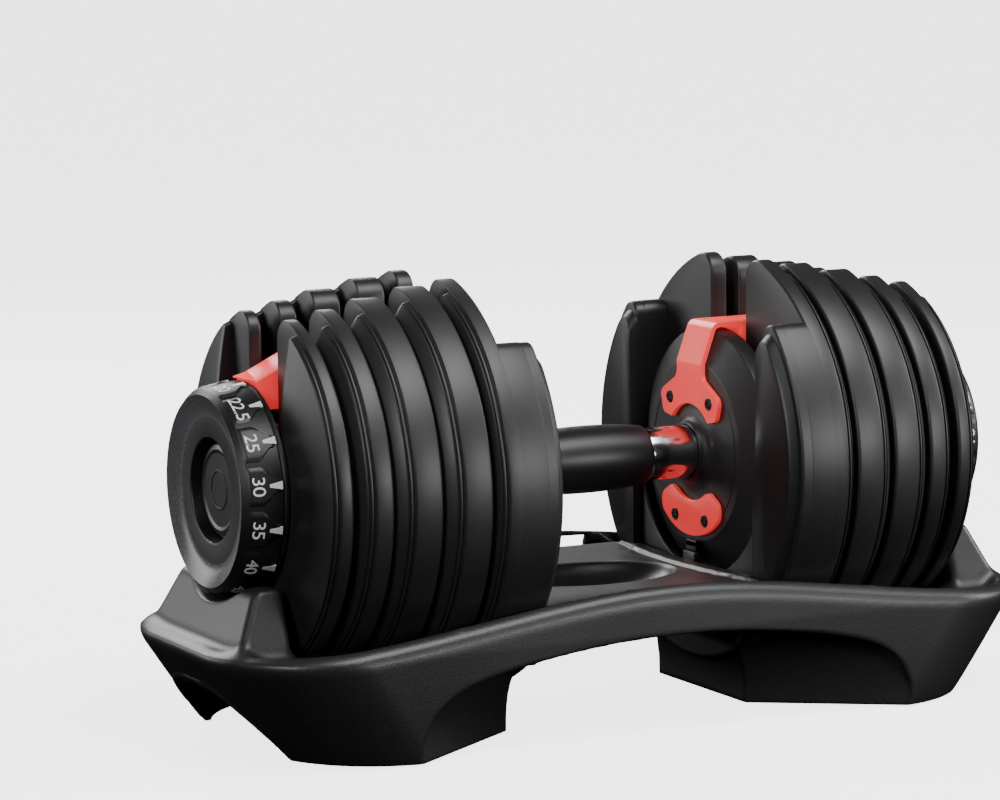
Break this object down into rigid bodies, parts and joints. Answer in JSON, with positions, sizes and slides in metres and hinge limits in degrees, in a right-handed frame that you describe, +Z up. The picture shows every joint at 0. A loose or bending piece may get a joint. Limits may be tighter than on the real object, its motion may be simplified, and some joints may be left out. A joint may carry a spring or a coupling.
{
  "type": "adjustable dumbbell",
  "caption": "Dial-select adjustable dumbbell in its storage cradle: a chrome-collared grip between stacks of slotted plates that numbered end dials pick up.",
  "frame": {"origin": "on the floor under the middle of the cradle", "axes": "+X along the handle towards the right dial, -Y towards the user, +Z up"},
  "size_m": [0.438, 0.198, 0.216],
  "materials": {
    "plate_coat": "satin black moulded coat over a steel weight",
    "tray_plastic": "fine satin texture",
    "disc_plastic": "fine satin texture",
    "bridge_red": "satin coral red",
    "chrome": "polished",
    "grip_rubber": "smooth satin",
    "steel": "turned",
    "screw_black": "blackened",
    "dial_plastic": "satin, white numbers",
    "foot_rubber": "matte",
    "nylon": "natural moulded nylon"
  },
  "bodies": {
    "cradle": {"cradle_shell": "tray_plastic", "left_lock_key": "tray_plastic", "right_lock_key": "tray_plastic", "foot_front_left": "foot_rubber", "foot_front_right": "foot_rubber", "foot_rear_left": "foot_rubber", "foot_rear_right": "foot_rubber", "left_plate_1_25lb": "plate_coat", "left_plate_7_5lb": "plate_coat", "left_plate_inner_7_5lb": "plate_coat", "right_plate_1_25lb": "plate_coat", "right_plate_7_5lb": "plate_coat", "right_plate_inner_7_5lb": "plate_coat"},
    "handle": {"grip": "grip_rubber", "handle_tube": "chrome", "axle_rod": "steel", "left_support_disc": "disc_plastic", "left_disc_cover": "disc_plastic", "left_bridge": "bridge_red", "left_kidney_plate": "bridge_red", "left_bracket_screw_1": "screw_black", "left_bracket_screw_2": "screw_black", "left_bracket_screw_3": "screw_black", "left_bracket_screw_4": "screw_black", "left_lock_spring": "steel", "right_support_disc": "disc_plastic", "right_disc_cover": "disc_plastic", "right_bridge": "bridge_red", "right_kidney_plate": "bridge_red", "right_bracket_screw_1": "screw_black", "right_bracket_screw_2": "screw_black", "right_bracket_screw_3": "screw_black", "right_bracket_screw_4": "screw_black", "right_lock_spring": "steel"},
    "left_selector": {"left_dial": "dial_plastic", "left_dial_cap": "dial_plastic", "left_spindle": "steel", "left_lock_wheel": "nylon", "left_selector_disc_1": "nylon", "left_selector_disc_2": "nylon", "left_selector_disc_3": "nylon", "left_selector_disc_4": "nylon", "left_selector_disc_5": "nylon"},
    "left_lock": {"left_lock_slider": "disc_plastic"},
    "left_plate_2_5": {"left_plate_2_5lb": "plate_coat"},
    "left_plate_5": {"left_plate_5lb": "plate_coat"},
    "right_selector": {"right_dial": "dial_plastic", "right_dial_cap": "dial_plastic", "right_spindle": "steel", "right_lock_wheel": "nylon", "right_selector_disc_1": "nylon", "right_selector_disc_2": "nylon", "right_selector_disc_3": "nylon", "right_selector_disc_4": "nylon", "right_selector_disc_5": "nylon"},
    "right_lock": {"right_lock_slider": "disc_plastic"},
    "right_plate_2_5": {"right_plate_2_5lb": "plate_coat"},
    "right_plate_5": {"right_plate_5lb": "plate_coat"}
  },
  "joints": [
    {"name": "lift", "type": "slide", "parent": "cradle", "child": "handle", "axis": [0, 0, 1], "range_m": [0, 0.25]},
    {"name": "left_dial_turn", "type": "hinge", "parent": "handle", "child": "left_selector", "pos_m": [-0.19, 0, 0.121], "axis": [-1, 0, 0], "continuous": true},
    {"name": "left_lock_slide", "type": "slide", "parent": "handle", "child": "left_lock", "axis": [0, 0, 1], "range_m": [-0.002, 0], "deforming": ["left_lock_spring"]},
    {"name": "left_plate_2_5_lift", "type": "slide", "parent": "cradle", "child": "left_plate_2_5", "axis": [0, 0, 1], "range_m": [0, 0.25]},
    {"name": "left_plate_5_lift", "type": "slide", "parent": "cradle", "child": "left_plate_5", "axis": [0, 0, 1], "range_m": [0, 0.25]},
    {"name": "right_dial_turn", "type": "hinge", "parent": "handle", "child": "right_selector", "pos_m": [0.19, 0, 0.121], "axis": [1, 0, 0], "continuous": true},
    {"name": "right_lock_slide", "type": "slide", "parent": "handle", "child": "right_lock", "axis": [0, 0, 1], "range_m": [-0.002, 0], "deforming": ["right_lock_spring"]},
    {"name": "right_plate_2_5_lift", "type": "slide", "parent": "cradle", "child": "right_plate_2_5", "axis": [0, 0, 1], "range_m": [0, 0.25]},
    {"name": "right_plate_5_lift", "type": "slide", "parent": "cradle", "child": "right_plate_5", "axis": [0, 0, 1], "range_m": [0, 0.25]}
  ],
  "couplings": [
    {"joint": "left_lock_slide", "follows": "lift", "ratio": -0.008},
    {"joint": "left_plate_2_5_lift", "follows": "lift", "ratio": 1},
    {"joint": "left_plate_5_lift", "follows": "lift", "ratio": 1},
    {"joint": "right_lock_slide", "follows": "lift", "ratio": -0.008},
    {"joint": "right_plate_2_5_lift", "follows": "lift", "ratio": 1},
    {"joint": "right_plate_5_lift", "follows": "lift", "ratio": 1}
  ]
}
